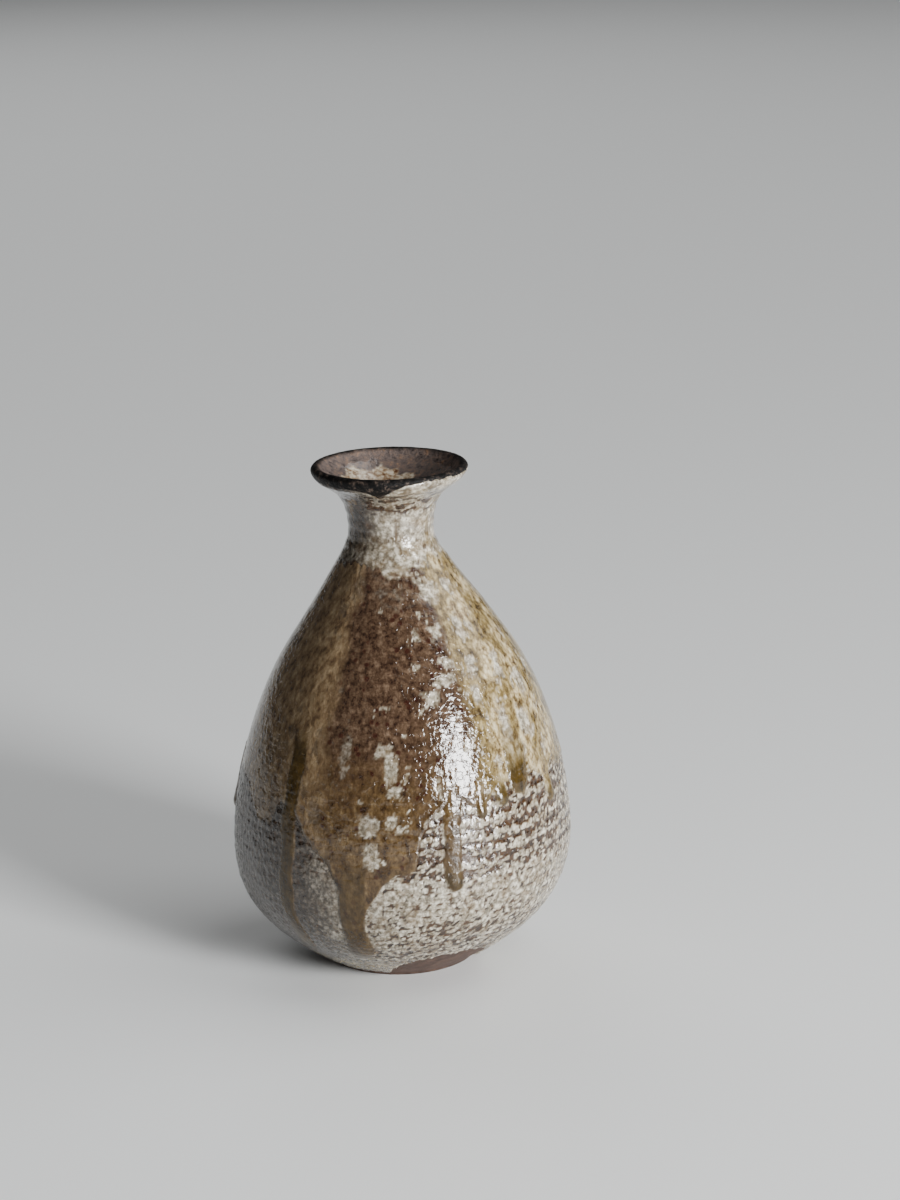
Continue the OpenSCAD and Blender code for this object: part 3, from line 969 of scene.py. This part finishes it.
def run_pieces(name, material):
    """All the runs that share a CAD node, as closed skins of one mesh."""
    parts = []
    for k, run in enumerate(RUNS):
        if run.node != name:
            continue
        wide = name == "front_run"

        def skin(at):
            glaze = Glaze(at)
            depth = glaze.runs[k][0]
            if wide:
                depth = np.maximum(depth, np.minimum(glaze.edge, FRONT_Z[1] - at.z))
            return glaze.run_height(k, depth), glaze.looks(), depth > -0.45

        top = FRONT_Z[1] + 1.5 if wide else run.top + 2
        s = steps(outside_at(max(run.end - 1.2, 1.5)), outside_at(top), 0.4)
        reach = math.degrees((run.half_width + 2.6) / POT.at(outside_at(min(top, 40)))[0])
        left, right = FRONT_SPAN if wide else (run.azimuth - reach, run.azimuth + reach)
        a = np.linspace(left, right, round(math.radians(right - left) * BELLY_R / 0.4))
        parts.append(patch(name, s, a, skin, -0.6))
    ob = parts[0]
    if len(parts) > 1:
        with bpy.context.temp_override(active_object=ob, selected_editable_objects=parts):
            bpy.ops.object.join()
    finish_piece(ob, material, "run_glaze", name)


def rim_band(material):
    """The iron band over the lip, ragged along both its edges."""
    def skin(at):
        outer = at.z - by_azimuth(BAND_FOOT, at.a) + 0.40 * RAGGED(at, 2.2, 2)
        inner = at.r - 14.4 + 0.7 * RAGGED(at, 3.0, 2)
        outside = at.s < LIP_AT
        depth = np.where(outside, outer, np.minimum(inner, 2))
        lumpy = 0.05 * BROKEN(at, 1.6, 2) + 0.05 * LUMPS(at, 6)
        over = 0.10 * smooth(depth, 0, 0.5) + lumpy * smooth(depth, 0, 1)
        height = np.where(depth > 0, over, -0.45 * smooth(-depth, 0, 0.6))
        fade = smooth(at.s - LIP_AT + 0.5 * RAGGED(at, 2.5, 2), 0.2, 1.5)
        return height, {"inside": np.where(outside, 0, fade)}

    s = steps(outside_at(BAND_START), LIP_AT + 6.5, 0.32)
    ob = coat("rim_band", s, ring(352), True, skin, -0.65)
    finish_piece(ob, material, "iron_glaze", "rim_band")


def inner_glaze(material):
    """The lining, fine in the mouth that can be seen and coarse below it."""
    def skin(at):
        height = 0.05 * LUMPS(at, 5, 2) + 0.03 * BROKEN(at, 1.5)
        bias = 2.2 * hill(around(at.a, -140), 55) - 1.6 * hill(around(at.a, 120), 50)
        d = 10.6 - at.r + 3.2 * RAGGED(at, 3.2, 3) + bias
        return height, {"cream": smooth(d, -0.4, 0.6)}

    throat = steps(LIP_AT + 1.2, inside_at(LINING_MIDDLE), 0.45)
    deep = steps(inside_at(LINING_MIDDLE), POT.along[-1], 1.6)
    ob = coat("inner_glaze", np.append(throat, deep[1:]), ring(240), True, skin, -0.4)
    finish_piece(ob, material, "lining_glaze", "inner_glaze")


def clay_body(material):
    """The clay under the glazes, which shows at the foot and the bare marks."""
    def turned(at):
        lines = 0.03 * np.sin(at.s * 2 * math.pi / 1.1) + 0.04 * DRIFT(at, 6, tall=0.2)
        return lines + 0.03 * BROKEN(at, 1.0) * smooth(at.r, 2, 6), {}

    def plain(at):
        return np.full(at.s.shape, -COAT), {}

    foot = coat("foot", steps(0, FOOT.along[-1], 0.55), ring(280), True, turned, -2.2, FOOT)
    finish_piece(foot, material, "bare_clay", "foot_ring")
    joints = [outside_at(FOOT_JOINT), outside_at(NECK_JOINT), outside_at(LIP_JOINT), LIP_AT + 5]
    zones = [("wall", "belly_wall", 1.4, 128, -3.9), ("neck_clay", "neck", 1.0, 96, -2.6),
             ("lip_clay", "lip", 0.6, 96, -0.75)]
    for (name, node, size, columns, base), start, end in zip(zones, joints, joints[1:]):
        ob = coat(name, steps(start, end, size), ring(columns), True, plain, base)
        finish_piece(ob, material, "bare_clay", node)


# ---------------------------------------------------------------- the set, in metres

AIM_Z = 0.06            # height on the bottle that the lamps look at


def floor():
    """A plain pale table."""
    bpy.ops.mesh.primitive_plane_add(size=6, location=(0, 0, 0))
    ob = bpy.context.object
    ob.name = "floor"
    n = Nodes("pale floor", 0.45)
    ob.data.materials.append(n.done(screen(238, 240, 240)))


def lamp(name, azimuth, elevation, distance, width, height, power):
    """A soft panel of so many watts that looks at the bottle from an azimuth and elevation."""
    data = bpy.data.lights.new(name, "AREA")
    data.shape = "RECTANGLE"
    data.size = width
    data.size_y = height
    data.energy = power
    ob = bpy.data.objects.new(name, data)
    bpy.context.scene.collection.objects.link(ob)
    t, e = math.radians(azimuth), math.radians(elevation)
    out = np.array([math.sin(t) * math.cos(e), -math.cos(t) * math.cos(e), math.sin(e)])
    ob.location = np.array([0, 0, AIM_Z]) + distance * out
    turn = Matrix.Rotation(t, 4, "Z") @ Matrix.Rotation(math.radians(90) - e, 4, "X")
    ob.rotation_euler = turn.to_euler()
    ob.visible_camera = False
    return ob


def lights():
    """A small window that the glaze mirrors, and wide soft fills."""
    lamp("window", 44, 14, 1.2, 0.34, 0.48, 34)
    lamp("ceiling", 100, 50, 3.4, 3.2, 3.2, 58)
    back = lamp("back", -160, 40, 2.6, 2.0, 2.0, 20)
    back.visible_glossy = False
    world = bpy.data.worlds.new("studio")
    bpy.context.scene.world = world
    world.use_nodes = True
    world.node_tree.nodes["Background"].inputs["Color"].default_value = (0.60, 0.60, 0.60, 1)
    world.node_tree.nodes["Background"].inputs["Strength"].default_value = 0.10


def camera():
    """The photo's view: a long lens that looks down a little, with a slight roll."""
    data = bpy.data.cameras.new("camera")
    data.lens = 93.0
    data.sensor_width = 36.0
    ob = bpy.data.objects.new("camera", data)
    bpy.context.scene.collection.objects.link(ob)
    pitch = Matrix.Rotation(math.radians(90 - 15.5), 4, "X")
    roll = Matrix.Rotation(math.radians(-0.86), 4, "Z")
    ob.rotation_euler = (pitch @ roll).to_euler()
    ob.location = (0.0121, -0.6969, 0.2796)
    bpy.context.scene.camera = ob


camera()
lights()
floor()

white = glaze_material("white coat")
belly_glaze(white)
neck_glaze(white)
ash_coat("ash_mantle", glaze_material("brown ash"), "brown_ash_glaze", 1, -164, 38, 312)
ash_coat("pale_ash", glaze_material("pale ash"), "pale_ash_glaze", -1, 30, 204, 264)
runs = glaze_material("run glaze", 0.11, 0.7, coat=0.0)
for run_name in ("front_run", "left_run", "short_run", "ash_drops", "back_runs"):
    run_pieces(run_name, runs)
rim_band(iron_material())
inner_glaze(lining_material())
clay_body(clay_material())
